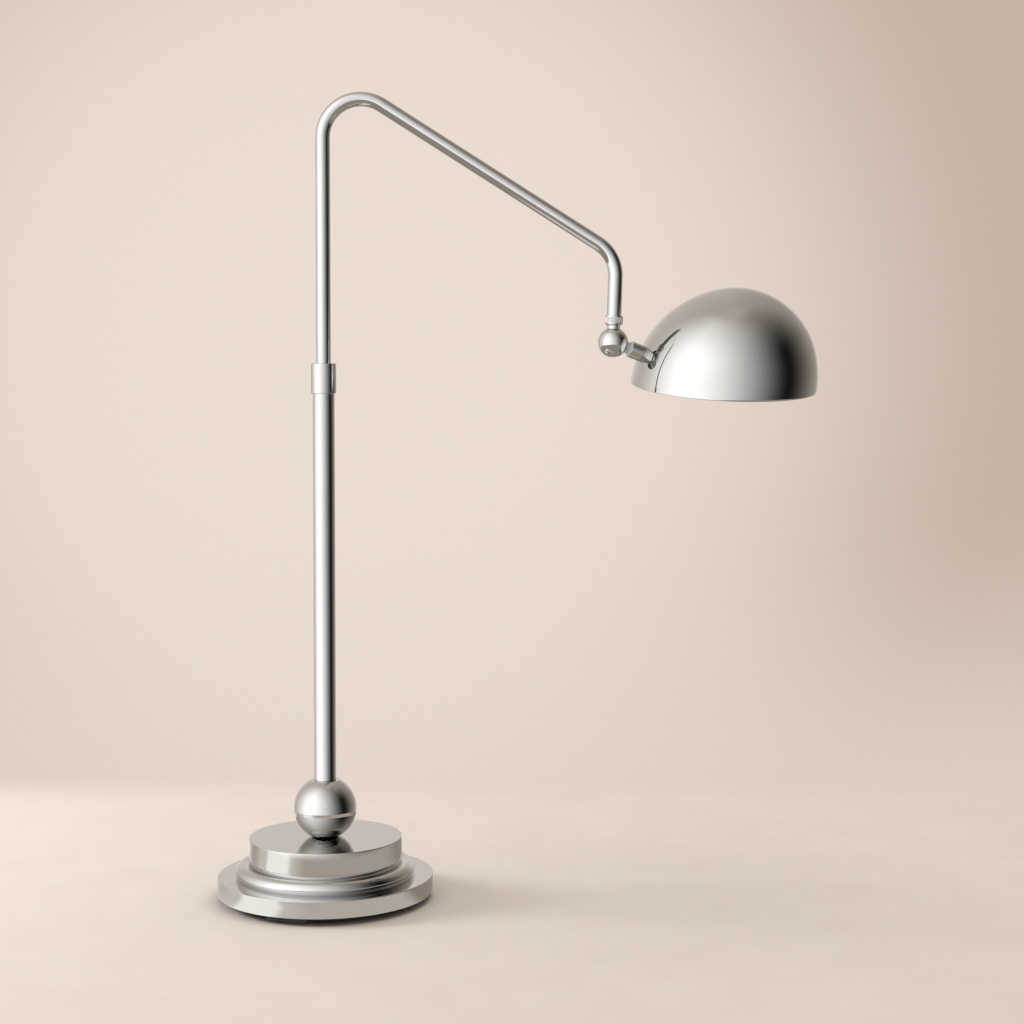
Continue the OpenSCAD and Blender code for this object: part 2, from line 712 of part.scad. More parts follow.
// Turn key of the rotary switch on the side of the socket
module switch_key() color("black") at_shade() translate([key_x, 0, 0]) rotate([90, 0, 0]) {
    translate([0, 0, key_inner_y]) cylinder(r = key_shaft_r, h = key_grip_y + key_grip_len / 2 - key_inner_y);
    translate([-key_w / 2, -key_grip_t / 2, key_grip_y]) cube([key_w, key_grip_t, key_grip_len]);
}

foot_ring();
bottom_plate();
plate_screws();
base_weight();
cord_grommet();
lower_disc();
bead_ring();
upper_disc();
big_ball();
rod_washer();
rod_nut();
hollow_rod();
post_plug();
post();
guide_bush();
collar();
grip_ring();
slide_ring();
tube_clips();
mast_tube();
end_bush();
ferrule();
knuckle_ball();
spigot_clip();
pivot_washers();
pivot_screw();
stem_tongue();
barrel();
saddle_washer();
shade();
shade_nipple();
shade_nut();
socket_cup();
cup_nut();
socket_insulator();
centre_contact();
bulb_base();
bulb_glass();
switch_key();
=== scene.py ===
# Desk lamp on a stepped round base: nickel plated, with a telescopic post, a bent arm and a dome shade.
# One section for each piece, in the order in which the lamp is put together. Lengths are in metres.
import bmesh
import bpy
import json
import math
from mathutils import Matrix, Vector


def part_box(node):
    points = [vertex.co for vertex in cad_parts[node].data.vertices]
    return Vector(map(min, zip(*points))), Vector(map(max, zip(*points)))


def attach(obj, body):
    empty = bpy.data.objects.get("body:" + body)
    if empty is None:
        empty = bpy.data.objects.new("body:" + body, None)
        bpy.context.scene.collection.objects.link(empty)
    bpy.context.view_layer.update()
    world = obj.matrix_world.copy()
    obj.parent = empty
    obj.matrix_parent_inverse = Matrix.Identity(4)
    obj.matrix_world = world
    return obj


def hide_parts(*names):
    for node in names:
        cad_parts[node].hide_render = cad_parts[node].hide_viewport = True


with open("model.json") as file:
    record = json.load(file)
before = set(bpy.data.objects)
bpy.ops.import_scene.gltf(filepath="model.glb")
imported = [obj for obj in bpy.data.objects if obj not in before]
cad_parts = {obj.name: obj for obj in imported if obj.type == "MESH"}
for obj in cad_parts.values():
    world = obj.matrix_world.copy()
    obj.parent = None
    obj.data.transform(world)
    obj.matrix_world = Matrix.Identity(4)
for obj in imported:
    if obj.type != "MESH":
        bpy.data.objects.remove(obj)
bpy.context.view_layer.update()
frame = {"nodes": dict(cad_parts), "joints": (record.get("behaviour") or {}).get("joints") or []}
mm = 0.001


# ------------------------ Camera
# A long lens at the height of the collar, pitched down a little. The shift keeps the post nearly upright.
def looking(place, pitch_down, roll):
    """Matrix of a camera that looks along +Y, pitched down and rolled by angles in degrees."""
    pitch = math.radians(pitch_down)
    turn = math.radians(roll)
    ahead = Vector((0, math.cos(pitch), -math.sin(pitch)))
    above = Vector((0, math.sin(pitch), math.cos(pitch)))
    right = Vector((1, 0, 0)) * math.cos(turn) + above * math.sin(turn)
    return Matrix.Translation(place) @ Matrix((right, right.cross(ahead), -ahead)).transposed().to_4x4()


camera = bpy.data.objects.new("camera", bpy.data.cameras.new("camera"))
bpy.context.scene.collection.objects.link(camera)
bpy.context.scene.camera = camera
camera.data.sensor_width = 36
camera.data.lens = 67.25
camera.data.shift_y = -0.08
camera.matrix_world = looking(place=(0.1627, -1.6535, 0.4471), pitch_down=1.433, roll=-0.1)
bpy.context.scene.view_settings.view_transform = "Standard"
bpy.context.scene.cycles.caustics_reflective = False


# ------------------------ Studio
# A pale wall for the eye. The plating sees a large soft box on the left, a black flag on the right,
# and dim walls round them.
def node(tree, kind, values=(), **settings):
    """Adds a node; values gives its inputs, each a plain value or another node's output."""
    new = tree.nodes.new(kind)
    for name, value in settings.items():
        setattr(new, name, value)
    for name, value in dict(values).items():
        if isinstance(value, bpy.types.NodeSocket):
            tree.links.new(value, new.inputs[name])
        else:
            new.inputs[name].default_value = value
    return new


def maths(tree, operation, first, second=0.0, third=0.0):
    values = {0: first, 1: second, 2: third}
    return node(tree, "ShaderNodeMath", values, operation=operation).outputs[0]


def product(tree, first, *others):
    for other in others:
        first = maths(tree, "MULTIPLY", first, other)
    return first


def ramp(tree, value, low, high, start=0.0, end=1.0):
    """Goes smoothly from start to end while the value goes from low to high."""
    values = {"Value": value, "From Min": low, "From Max": high, "To Min": start, "To Max": end}
    return node(tree, "ShaderNodeMapRange", values, interpolation_type="SMOOTHSTEP").outputs[0]


def mixed(tree, share, first, second):
    """Colour that goes from the first to the second as the share goes from 0 to 1."""
    made = node(tree, "ShaderNodeMix", {0: share}, data_type="RGBA")
    for socket, colour in ((made.inputs[6], first), (made.inputs[7], second)):
        if isinstance(colour, bpy.types.NodeSocket):
            tree.links.new(colour, socket)
        else:
            socket.default_value = (*colour, 1)
    return made.outputs[2]


def between(tree, value, low, high, edge):
    """1 between low and high, with an edge that is that soft on both sides."""
    return product(tree, ramp(tree, value, low, low + edge), ramp(tree, value, high, high - edge))


def heading(tree, way):
    """Bearing of a direction, 0 to the front and positive to the right, and its elevation, in degrees."""
    along = node(tree, "ShaderNodeVectorMath", {0: way}, operation="NORMALIZE").outputs["Vector"]
    part = node(tree, "ShaderNodeSeparateXYZ", {0: along}).outputs
    bearing = maths(tree, "DEGREES", maths(tree, "ARCTAN2", part[0], maths(tree, "MULTIPLY", part[1], -1)))
    return bearing, maths(tree, "DEGREES", maths(tree, "ARCSINE", part[2]))


world = bpy.data.worlds.new("studio")
bpy.context.scene.world = world
world.use_nodes = True
room = world.node_tree
room.nodes.clear()
way = node(room, "ShaderNodeTexCoord").outputs["Generated"]
bearing, elevation = heading(room, way)
soft_box = (1.92, 1.90, 1.87)
flag = (0.012, 0.012, 0.012)
wall_left = (0.70, 0.645, 0.58)
wall_right = (0.46, 0.40, 0.335)
wall_behind = (0.70, 0.63, 0.55)
room_back = (0.79, 0.73, 0.68)
wall_top = (0.58, 0.52, 0.44)
ceiling = (0.62, 0.565, 0.49)
floor = (0.40, 0.355, 0.305)
studio = wall_left
for start, end, tone in ((-137, -46, soft_box), (-64, 78, flag), (77, 150, wall_right),
                         (145, 185, wall_behind)):
    studio = mixed(room, ramp(room, bearing, start, end), studio, tone)
back = product(room, ramp(room, maths(room, "ABSOLUTE", bearing), 138, 166), ramp(room, elevation, 32, 10))
studio = mixed(room, back, studio, room_back)
for start, end, tone in ((22, 104, wall_top), (70, 90, ceiling), (-17, -20, floor)):
    studio = mixed(room, ramp(room, elevation, start, end), studio, tone)

# The camera sees a pale wall, brightest in one direction and more even towards its foot.
brightest = Vector((-0.085, 1, 0.02)).normalized()
wall_dim = (0.565, 0.455, 0.382)
wall_bright = (0.825, 0.722, 0.636)
wall_foot = (0.80, 0.71, 0.62)
spot = node(room, "ShaderNodeVectorMath", {0: way, 1: brightest}, operation="DOT_PRODUCT").outputs["Value"]
backdrop = mixed(room, ramp(room, spot, 0.94, 0.998), wall_dim, wall_bright)
backdrop = mixed(room, ramp(room, elevation, -3, -12, 0, 0.6), backdrop, wall_foot)
ray = node(room, "ShaderNodeLightPath").outputs
seen = mixed(room, ray["Is Glossy Ray"], backdrop, studio)
shown = maths(room, "MAXIMUM", ray["Is Camera Ray"], ray["Is Glossy Ray"])
shown = maths(room, "MAXIMUM", shown, ray["Is Transmission Ray"])
height = maths(room, "ABSOLUTE", elevation)
soft = mixed(room, ramp(room, height, 0, 40), (0.10, 0.095, 0.09), (0.60, 0.58, 0.55))
light = mixed(room, shown, soft, seen)
light = mixed(room, ramp(room, ray["Diffuse Depth"], 0.2, 0.8), light, soft)
sky = node(room, "ShaderNodeBackground", {"Color": light, "Strength": 1.0})
node(room, "ShaderNodeOutputWorld", {"Surface": sky.outputs[0]})


def lamp(name, place, aim, width, height, power, colour=(1, 1, 1)):
    """Soft box that lights the piece but doesn't show in its plating."""
    data = bpy.data.lights.new(name, "AREA")
    data.shape = "RECTANGLE"
    data.size = width
    data.size_y = height
    data.energy = power
    data.color = colour
    box = bpy.data.objects.new(name, data)
    box.location = place
    box.rotation_euler = (Vector(aim) - Vector(place)).to_track_quat("-Z", "Y").to_euler()
    box.visible_glossy = False
    box.visible_camera = False
    bpy.context.scene.collection.objects.link(box)


lamp("soft_box_left", (-1.85, 0.15, 1.0), (0.05, 0, 0.05), 0.75, 0.75, 28, (0.97, 1.0, 1.06))
lamp("soft_box_above", (0.5, 0.15, 2.0), (0.3, 0.1, 0), 1.4, 1.4, 12)


# ------------------------ Desk
# Pale matt table top that fades into the wall. The plating sees it near the base alone, as painted light:
# a glow brighter towards the soft box and behind, with painted shade on the right and farther out.
def finish(name, colour, rough, metal=0.0):
    """New material with a principled shader; returns the material, its tree and the shader."""
    material = bpy.data.materials.new(name)
    material.use_nodes = True
    tree = material.node_tree
    shader = tree.nodes["Principled BSDF"]
    shader.inputs["Base Color"].default_value = (*colour, 1)
    shader.inputs["Roughness"].default_value = rough
    shader.inputs["Metallic"].default_value = metal
    return material, tree, shader


def noise(tree, place, scale, detail=3.0, rough=0.5):
    values = {"Vector": place, "Scale": scale, "Detail": detail, "Roughness": rough}
    return node(tree, "ShaderNodeTexNoise", values).outputs["Fac"]


def on_piece(tree):
    """Place on the piece, in metres."""
    return node(tree, "ShaderNodeTexCoord").outputs["Object"]


def feed(shader, name, value):
    """Lets a node's output drive one of the shader's inputs."""
    shader.id_data.links.new(value, shader.inputs[name])


def raised(tree, shader, height, strength, distance):
    """Raises the surface by a pattern, as far as distance at full strength."""
    values = {"Height": height, "Strength": strength, "Distance": distance}
    feed(shader, "Normal", node(tree, "ShaderNodeBump", values).outputs[0])


def blended(tree, share, first, second):
    return node(tree, "ShaderNodeMixShader", {0: share, 1: first.outputs[0], 2: second.outputs[0]})


def desk_top():
    material, tree, shader = finish("desk_top", (0.80, 0.705, 0.62), 0.85)
    place = on_piece(tree)
    cloud = noise(tree, place, 14, 5, 0.6)
    grain = noise(tree, place, 900, 2)
    mottled = mixed(tree, ramp(tree, cloud, 0.3, 0.7), (0.775, 0.680, 0.600), (0.800, 0.705, 0.625))
    feed(shader, "Base Color", mottled)
    raised(tree, shader, grain, 0.15, 0.0003)
    shader.inputs["Specular IOR Level"].default_value = 0.2
    path = node(tree, "ShaderNodeLightPath").outputs
    away = node(tree, "ShaderNodeVectorMath", {0: place}, operation="LENGTH").outputs["Value"]
    bearing = maths(tree, "SUBTRACT", heading(tree, place)[0], ramp(tree, away, 0.14, 0.20, 16, 0))
    # Painted light for the plating: a glow that is dimmer farther from the base and brighter towards the soft
    # box.
    painted_desk_light = mixed(tree, ramp(tree, away, 0.15, 0.20), (0.68, 0.62, 0.54), (0.56, 0.50, 0.43))
    painted_desk_light = mixed(tree, between(tree, bearing, -112, -18, 24), painted_desk_light, (0.84, 0.79, 0.72))
    painted_desk_light = mixed(tree, between(tree, bearing, -84, -38, 9), painted_desk_light, (1.36, 1.30, 1.24))
    # Painted shade on the right, deepest close to the base; behind on the left the painted glow is lighter
    # again.
    right = product(tree, ramp(tree, bearing, 50, 68), ramp(tree, away, 0.20, 0.15))
    right = maths(tree, "MAXIMUM", right, ramp(tree, bearing, 90, 130))
    painted_desk_light = mixed(tree, right, painted_desk_light, (0.37, 0.315, 0.265))
    painted_desk_light = mixed(tree, ramp(tree, bearing, -115, -150), painted_desk_light, (1.05, 0.98, 0.90))
    painted_light_glow = node(tree, "ShaderNodeEmission", {"Color": painted_desk_light})
    top = blended(tree, path["Is Glossy Ray"], shader, painted_light_glow)
    y = node(tree, "ShaderNodeSeparateXYZ", {0: place}).outputs[1]
    far = maths(tree, "MAXIMUM", ramp(tree, y, 0.36, 0.52), ramp(tree, away, 0.65, 0.98))
    past_base = ramp(tree, away, 0.25, 0.30)
    hidden = maths(tree, "MAXIMUM", far, product(tree, past_base, path["Is Glossy Ray"]))
    below = node(tree, "ShaderNodeNewGeometry").outputs["Backfacing"]
    clear = node(tree, "ShaderNodeBsdfTransparent")
    faded = blended(tree, maths(tree, "MAXIMUM", hidden, below), top, clear)
    tree.links.new(faded.outputs[0], tree.nodes["Material Output"].inputs["Surface"])
    material.cycles.emission_sampling = "NONE"
    return material


desk_mesh = bpy.data.meshes.new("desk")
disc = bmesh.new()
bmesh.ops.create_circle(disc, cap_ends=True, radius=1.3, segments=96)
disc.to_mesh(desk_mesh)
disc.free()
desk = bpy.data.objects.new("desk", desk_mesh)
desk_mesh.materials.append(desk_top())
bpy.context.scene.collection.objects.link(desk)


# ------------------------ foot_ring
# Black rubber ring under the base, moulded with four lobes and three grooves that grip the desk.
# It is glued to the bottom plate.
def new_piece(name, verts, faces, material, crease=35):
    """Mesh object from plain lists, smooth but for the edges sharper than crease degrees."""
    mesh = bpy.data.meshes.new(name)
    mesh.from_pydata(verts, [], faces)
    mesh.materials.append(material)
    mesh.polygons.foreach_set("use_smooth", [True] * len(mesh.polygons))
    mesh.set_sharp_from_angle(angle=math.radians(crease))
    piece = bpy.data.objects.new(name, mesh)
    bpy.context.scene.collection.objects.link(piece)
    return piece


def rounded(corners, closed=True):
    """Outline through (x, y, fillet) corners, each rounded by its fillet; a fillet of 0 stays sharp."""
    points = []
    for i, (x, y, fillet) in enumerate(corners):
        here = Vector((x, y))
        if fillet == 0 or (not closed and i in (0, len(corners) - 1)):
            points.append(here)
            continue
        coming = (here - Vector(corners[i - 1][:2])).normalized()
        going = (Vector(corners[(i + 1) % len(corners)][:2]) - here).normalized()
        turn = math.atan2(coming.x * going.y - coming.y * going.x, coming.dot(going))
        side = Vector((-coming.y, coming.x)) * math.copysign(fillet, turn)
        centre = here - coming * fillet * math.tan(abs(turn) / 2) + side
        steps = max(3, math.ceil(math.degrees(abs(turn)) / 12))
        for k in range(steps + 1):
            points.append(centre + Matrix.Rotation(turn * k / steps, 2) @ -side)
    return points


def arc(centre, radius, start, end, steps):
    """Plain corners along an arc, from one angle to another in degrees."""
    angles = [math.radians(start + (end - start) * k / steps) for k in range(steps + 1)]
    return [(centre[0] + radius * math.cos(a), centre[1] + radius * math.sin(a), 0) for a in angles]


def black_rubber():
    material, tree, shader = finish("black_rubber", (0.022, 0.021, 0.020), 0.62)
    place = on_piece(tree)
    dust = ramp(tree, noise(tree, place, 260, 5, 0.65), 0.45, 0.8)
    feed(shader, "Base Color", mixed(tree, dust, (0.018, 0.017, 0.016), (0.050, 0.047, 0.043)))
    feed(shader, "Roughness", ramp(tree, noise(tree, place, 90), 0.3, 0.7, 0.52, 0.72))
    raised(tree, shader, noise(tree, place, 2200, 2), 0.35, 0.0002)
    return material


def lobed_ring(name, inner, outer, lobe, lobe_arc, first, height, groove, material):
    """Ring whose outer edge swells to a lobe every quarter turn, with grooves underneath."""
    steps = 480
    profile = [(0, height, 0), (0, 0.8 * mm, 0.6 * mm)]
    for k in range(3):
        start = (k + 0.7) / 4
        profile += [(start, 0, 0), (start + 0.03, groove, 0), (start + 0.09, groove, 0), (start + 0.12, 0, 0)]
    profile += [(1, 0.9 * mm, 0), (1, height - 0.5 * mm, 0), (0.97, height, 0)]
    verts = []
    for i in range(steps):
        turn = 360 * i / steps
        off = abs((turn - first + 45) % 90 - 45)
        swell = min(max((lobe_arc / 2 - off) / 1.6, 0), 1)
        edge = outer + (lobe - outer) * swell * swell * (3 - 2 * swell)
        a = math.radians(turn)
        for share, z, _ in profile:
            radius = inner + (edge - inner) * share
            verts.append((radius * math.cos(a), radius * math.sin(a), z))
    count = len(profile)
    faces = []
    for i in range(steps):
        ahead = (i + 1) % steps
        for k in range(count):
            nxt = (k + 1) % count
            faces.append((i * count + k, ahead * count + k, ahead * count + nxt, i * count + nxt))
    return new_piece(name, verts, faces, material)


rubber = black_rubber()
foot_ring = lobed_ring("rubber_foot", inner=60 * mm, outer=78 * mm, lobe=86 * mm, lobe_arc=25, first=71.5,
                       height=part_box("foot_ring")[1].z, groove=0.8 * mm, material=rubber)
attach(foot_ring, "base")
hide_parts("foot_ring")


# ------------------------ bottom_plate
# Round steel plate, zinc plated, that closes the base from below.
def zinc_plate():
    material, tree, shader = finish("zinc_plate", (0.56, 0.57, 0.60), 0.38, metal=1)
    place = on_piece(tree)
    spangle = node(tree, "ShaderNodeTexVoronoi", {"Vector": place, "Scale": 160.0}).outputs["Color"]
    tone = node(tree, "ShaderNodeSeparateColor", {0: spangle}).outputs[0]
    feed(shader, "Base Color", mixed(tree, tone, (0.50, 0.51, 0.54), (0.64, 0.65, 0.67)))
    feed(shader, "Roughness", ramp(tree, tone, 0, 1, 0.30, 0.46))
    return material


def dress(node_name, material):
    """Gives a carried-over solid its finish."""
    slots = frame["nodes"][node_name].data.materials
    slots.clear()
    slots.append(material)


zinc = zinc_plate()
dress("bottom_plate", zinc)


# ------------------------ plate_screws
# Three slotted pan-head screws that hold the plate to the weight. One is made, and copies stand in a circle.
def banded(pairs, around):
    """Faces between pairs of rings; where a ring is a single point they become triangles."""
    faces = []
    for low, high in pairs:
        for k in range(around):
            nxt = (k + 1) % around
            corners = [low[k], low[nxt], high[nxt], high[k]]
            face = [v for j, v in enumerate(corners) if v != corners[j - 1]]
            if len(face) > 2:
                faces.append(face)
    return faces


def turned(name, outline, material, place=None, steps=256):
    """Turns an outline of (radius, height) points about +Z. Long straight stretches get a point
    close to each end, so that flat faces stay flat where a rounded edge begins."""
    points = []
    pairs = zip(outline, outline[1:] + outline[:1])
    for (r, z), (r_next, z_next) in pairs:
        points.append((r, z))
        span = math.hypot(r_next - r, z_next - z)
        if span > 1 * mm and not (r < 1e-7 and r_next < 1e-7):
            for share in (0.15 * mm / span, 1 - 0.15 * mm / span):
                points.append((r + (r_next - r) * share, z + (z_next - z) * share))
    angles = [2 * math.pi * k / steps for k in range(steps)]
    verts = []
    rings = []
    for r, z in points:
        if r < 1e-7:
            rings.append([len(verts)] * steps)
            verts.append((0, 0, z))
            continue
        rings.append(list(range(len(verts), len(verts) + steps)))
        verts += [(r * math.cos(a), r * math.sin(a), z) for a in angles]
    if place is not None:
        verts = [place @ Vector(v) for v in verts]
    return new_piece(name, verts, banded(zip(rings, rings[1:] + rings[:1]), steps), material)


def cylinder(name, radius, low, high, material, place=None, steps=48):
    """Plain round bar along +Z, used as a cutter or a blank."""
    return turned(name, [(0, low), (radius, low), (radius, high), (0, high)], material, place, steps)


def cut(piece, tool, crease=35):
    """Cuts the tool out of the piece and removes the tool."""
    change = piece.modifiers.new("cut", "BOOLEAN")
    change.operation = "DIFFERENCE"
    change.solver = "EXACT"
    change.object = tool
    settle(piece)
    piece.data.set_sharp_from_angle(angle=math.radians(crease))
    bpy.data.objects.remove(tool)


def settle(piece):
    """Turns what the piece's modifiers make into its plain mesh."""
    bpy.context.view_layer.update()
    made = bpy.data.meshes.new_from_object(piece.evaluated_get(bpy.context.evaluated_depsgraph_get()))
    made.name = piece.name
    piece.modifiers.clear()
    piece.data = made


def block(name, low, high, material):
    """Plain box between two corners, used as a cutter."""
    verts = [(x, y, z) for x in (low[0], high[0]) for y in (low[1], high[1]) for z in (low[2], high[2])]
    faces = [(0, 1, 3, 2), (4, 6, 7, 5), (0, 4, 5, 1), (2, 3, 7, 6), (0, 2, 6, 4), (1, 5, 7, 3)]
    return new_piece(name, verts, faces, material)


def shape_tree(name, inputs, output):
    """Geometry tree with named inputs. Returns it, its inputs inside it, and the keys that set them."""
    tree = bpy.data.node_groups.new(name, "GeometryNodeTree")
    keys = {}
    for label, kind in inputs:
        socket = tree.interface.new_socket(label, in_out="INPUT", socket_type="NodeSocket" + kind)
        keys[label] = socket.identifier
    tree.interface.new_socket(output, in_out="OUTPUT", socket_type="NodeSocketGeometry")
    return tree, node(tree, "NodeGroupInput").outputs, keys


def run_tree(piece, tree, keys, values):
    """Runs a geometry tree on the piece with these inputs, and keeps the result as its mesh."""
    change = piece.modifiers.new("shape", "NODES")
    change.node_group = tree
    for label, value in values.items():
        change[keys[label]] = value
    settle(piece)


def in_a_circle(piece, count, radius, first):
    """Copies the piece, made at the origin and facing +X, around the Z axis by Geometry Nodes."""
    inputs = (("Piece", "Geometry"), ("Count", "Int"), ("Radius", "Float"), ("First", "Float"),
              ("Finish", "Material"))
    tree, given, keys = shape_tree(piece.name + "_circle", inputs, "Copies")
    ring = node(tree, "GeometryNodeMeshCircle", {"Vertices": given["Count"], "Radius": given["Radius"]})
    index = node(tree, "GeometryNodeInputIndex").outputs[0]
    turn = maths(tree, "DIVIDE", maths(tree, "MULTIPLY", index, 2 * math.pi), given["Count"])
    spin = node(tree, "ShaderNodeCombineXYZ", {"Z": turn})
    copies = node(tree, "GeometryNodeInstanceOnPoints",
                  {"Points": ring.outputs[0], "Instance": given["Piece"], "Rotation": spin.outputs[0]})
    turned_ring = node(tree, "GeometryNodeTransform", {"Geometry": copies.outputs[0]})
    lead = node(tree, "ShaderNodeCombineXYZ", {"Z": given["First"]})
    tree.links.new(lead.outputs[0], turned_ring.inputs["Rotation"])
    real = node(tree, "GeometryNodeRealizeInstances", {"Geometry": turned_ring.outputs[0]})
    values = {"Geometry": real.outputs[0], "Material": given["Finish"]}
    coated = node(tree, "GeometryNodeSetMaterial", values)
    node(tree, "NodeGroupOutput", {0: coated.outputs[0]})
    run_tree(piece, tree, keys, {"Count": count, "Radius": radius, "First": math.radians(first),
                                 "Finish": piece.data.materials[0]})


plate_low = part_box("bottom_plate")[0].z
screw_head_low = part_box("plate_screws")[0].z
screw_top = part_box("plate_screws")[1].z
screw_r = 2 * mm
screw_head_r = 4 * mm
screw_outline = [(0, screw_head_low, 0), (screw_head_r, screw_head_low, 1.1 * mm),
                 (screw_head_r, plate_low, 0.1 * mm), (screw_r, plate_low, 0.1 * mm)]
thread_turns = 9
for k in range(thread_turns):
    z = plate_low + (0.2 + k * 0.7) * mm
    screw_outline += [(screw_r, z + 0.2 * mm, 0.05 * mm), (screw_r - 0.25 * mm, z + 0.5 * mm, 0.05 * mm)]
screw_outline += [(screw_r - 0.4 * mm, screw_top, 0.2 * mm), (0, screw_top, 0)]
plate_screws = turned("plate_screws_set", rounded(screw_outline, closed=False), zinc, steps=48)
cut(plate_screws, block("screw_slot", (-0.5 * mm, -5 * mm, screw_head_low - 1 * mm),
                        (0.5 * mm, 5 * mm, screw_head_low + 1 * mm), zinc))
in_a_circle(plate_screws, count=3, radius=44 * mm, first=30)
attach(plate_screws, "base")
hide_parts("plate_screws")


# ------------------------ base_weight
# Rough iron casting inside the base that keeps the lamp from tipping. It fills both discs.
def cast_iron():
    material, tree, shader = finish("cast_iron", (0.16, 0.155, 0.15), 0.75, metal=0.6)
    place = on_piece(tree)
    sand = noise(tree, place, 420, 6, 0.7)
    feed(shader, "Base Color", mixed(tree, sand, (0.10, 0.095, 0.09), (0.24, 0.225, 0.21)))
    raised(tree, shader, sand, 0.6, 0.0006)
    return material


dress("base_weight", cast_iron())


# ------------------------ cord_grommet
# Rubber inlet for the cord, snapped into the rear wall of the lower disc. It bends with the wall.
lower_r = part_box("lower_disc")[1].x
inlet_low, inlet_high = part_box("cord_grommet")
inlet_z = (inlet_low.z + inlet_high.z) / 2
inlet_bore_r = 3 * mm
inlet_neck_r = 4 * mm
inlet_flange_r = inlet_high.x
inlet_flange_t = 1.5 * mm
wall_t = 1.5 * mm
inlet_start = lower_r - wall_t - inlet_flange_t
inlet_end = lower_r + inlet_flange_t
at_inlet = Matrix.Translation((0, 0, inlet_z)) @ Matrix.Rotation(-math.pi / 2, 4, "X")
grommet = turned("cord_inlet_grommet", rounded([
    (inlet_bore_r, inlet_start, 0.5 * mm), (inlet_flange_r, inlet_start, 0.6 * mm),
    (inlet_flange_r, lower_r - wall_t, 0.3 * mm), (inlet_neck_r, lower_r - wall_t, 0),
    (inlet_neck_r, lower_r, 0), (inlet_flange_r, lower_r, 0.3 * mm),
    (inlet_flange_r, inlet_end, 0.7 * mm), (inlet_bore_r, inlet_end, 0.5 * mm)]),
    rubber, place=at_inlet, steps=96)
for vert in grommet.data.vertices:
    vert.co.y -= lower_r - math.sqrt(lower_r ** 2 - vert.co.x ** 2)
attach(grommet, "base")
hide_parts("cord_grommet")


# ------------------------ lower_disc
# Spun cover of the base, polished and nickel plated: a flat ledge with a straight wall and crisp edges.
def nickel(name, gloss, wave):
    """Bright nickel plate. gloss is its roughness, and wave is how far polishing left it uneven."""
    material, tree, shader = finish(name, (0.60, 0.597, 0.592), gloss, metal=1)
    place = on_piece(tree)
    cloud = ramp(tree, noise(tree, place, 22, 4), 0.35, 0.65)
    smear = noise(tree, place, 160, 5, 0.6)
    feed(shader, "Base Color", mixed(tree, cloud, (0.59, 0.586, 0.580), (0.61, 0.608, 0.604)))
    haze = maths(tree, "MULTIPLY_ADD", ramp(tree, smear, 0.4, 0.75), gloss * 0.5, gloss * 0.85)
    feed(shader, "Roughness", haze)
    raised(tree, shader, noise(tree, place, 55, 2), 1.0, wave)
    return material


plated = nickel("mirror_nickel", gloss=0.035, wave=0.000012)
disc_low, disc_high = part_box("lower_disc")
hole_r = 60 * mm
lower_disc = turned("base_disc", rounded([
    (lower_r, disc_low.z, 0.5 * mm), (lower_r, disc_high.z, 0.6 * mm), (hole_r, disc_high.z, 0.2 * mm),
    (hole_r, disc_high.z - wall_t, 0.2 * mm), (lower_r - wall_t, disc_high.z - wall_t, 0.8 * mm),
    (lower_r - wall_t, disc_low.z, 0.3 * mm)]), plated, steps=384)
cut(lower_disc, cylinder("inlet_hole", inlet_neck_r, lower_r / 2, lower_r * 1.1, rubber, at_inlet))
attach(lower_disc, "base")
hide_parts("lower_disc")


# ------------------------ bead_ring
# Turned and plated ring on the ledge: a half-round bead that runs into a neck under the upper disc.
ledge_z = disc_high.z
bead_low, bead_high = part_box("bead_ring")
bead_round = 7 * mm
bead_lift = 4 * mm
bead_bore_r = 52 * mm
neck_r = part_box("upper_disc")[1].x - 1 * mm
bead_middle = (bead_high.x - bead_round, ledge_z + bead_lift)
bead_start = -math.degrees(math.asin(bead_lift / bead_round))
bead_end = math.degrees(math.acos((neck_r - bead_middle[0]) / bead_round))
locating_step = 1.5 * mm
upper_wall = 3 * mm
bead_ring = turned("bead_and_neck", rounded([
    (bead_bore_r, bead_low.z, 0.2 * mm), (hole_r, bead_low.z, 0), (hole_r, ledge_z, 0),
    *arc(bead_middle, bead_round, bead_start, bead_end, 72),
    (neck_r, bead_high.z - locating_step, 0.1 * mm), (neck_r - 2 * mm, bead_high.z - locating_step, 0),
    (neck_r - 2 * mm, bead_high.z, 0.2 * mm), (bead_bore_r, bead_high.z, 0.2 * mm)]), plated, steps=384)
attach(bead_ring, "base")
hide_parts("bead_ring")


# ------------------------ upper_disc
# Smaller polished disc with a heavy wall, which sits on the neck and carries the ball.
upper_low, upper_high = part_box("upper_disc")
upper_r = upper_high.x
rod_r = 5 * mm
top_t = 2 * mm
upper_disc = turned("upper_base_disc", rounded([
    (upper_r, upper_low.z, 0.4 * mm), (upper_r, upper_high.z, 0.5 * mm), (rod_r, upper_high.z, 0.2 * mm),
    (rod_r, upper_high.z - top_t, 0.2 * mm), (upper_r - upper_wall, upper_high.z - top_t, 1 * mm),
    (upper_r - upper_wall, upper_low.z, 0.3 * mm)]), plated, steps=384)
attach(upper_disc, "base")
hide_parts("upper_disc")


# ------------------------ big_ball
# Solid turned ball, mirror polished, with a flat below and above and a bore for the rod.
ball_low, ball_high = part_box("big_ball")
ball_r = ball_high.x
ball_foot_r = 11 * mm
ball_z = ball_low.z + math.sqrt(ball_r ** 2 - ball_foot_r ** 2)
ball_start = -math.degrees(math.acos(ball_foot_r / ball_r))
ball_end = math.degrees(math.asin((ball_high.z - ball_z) / ball_r))
big_ball = turned("base_ball", rounded([
    (rod_r, ball_low.z, 0), *arc((0, ball_z), ball_r, ball_start, ball_end, 150), (rod_r, ball_high.z, 0)]),
    plated, steps=256)
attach(big_ball, "base")
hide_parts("big_ball")


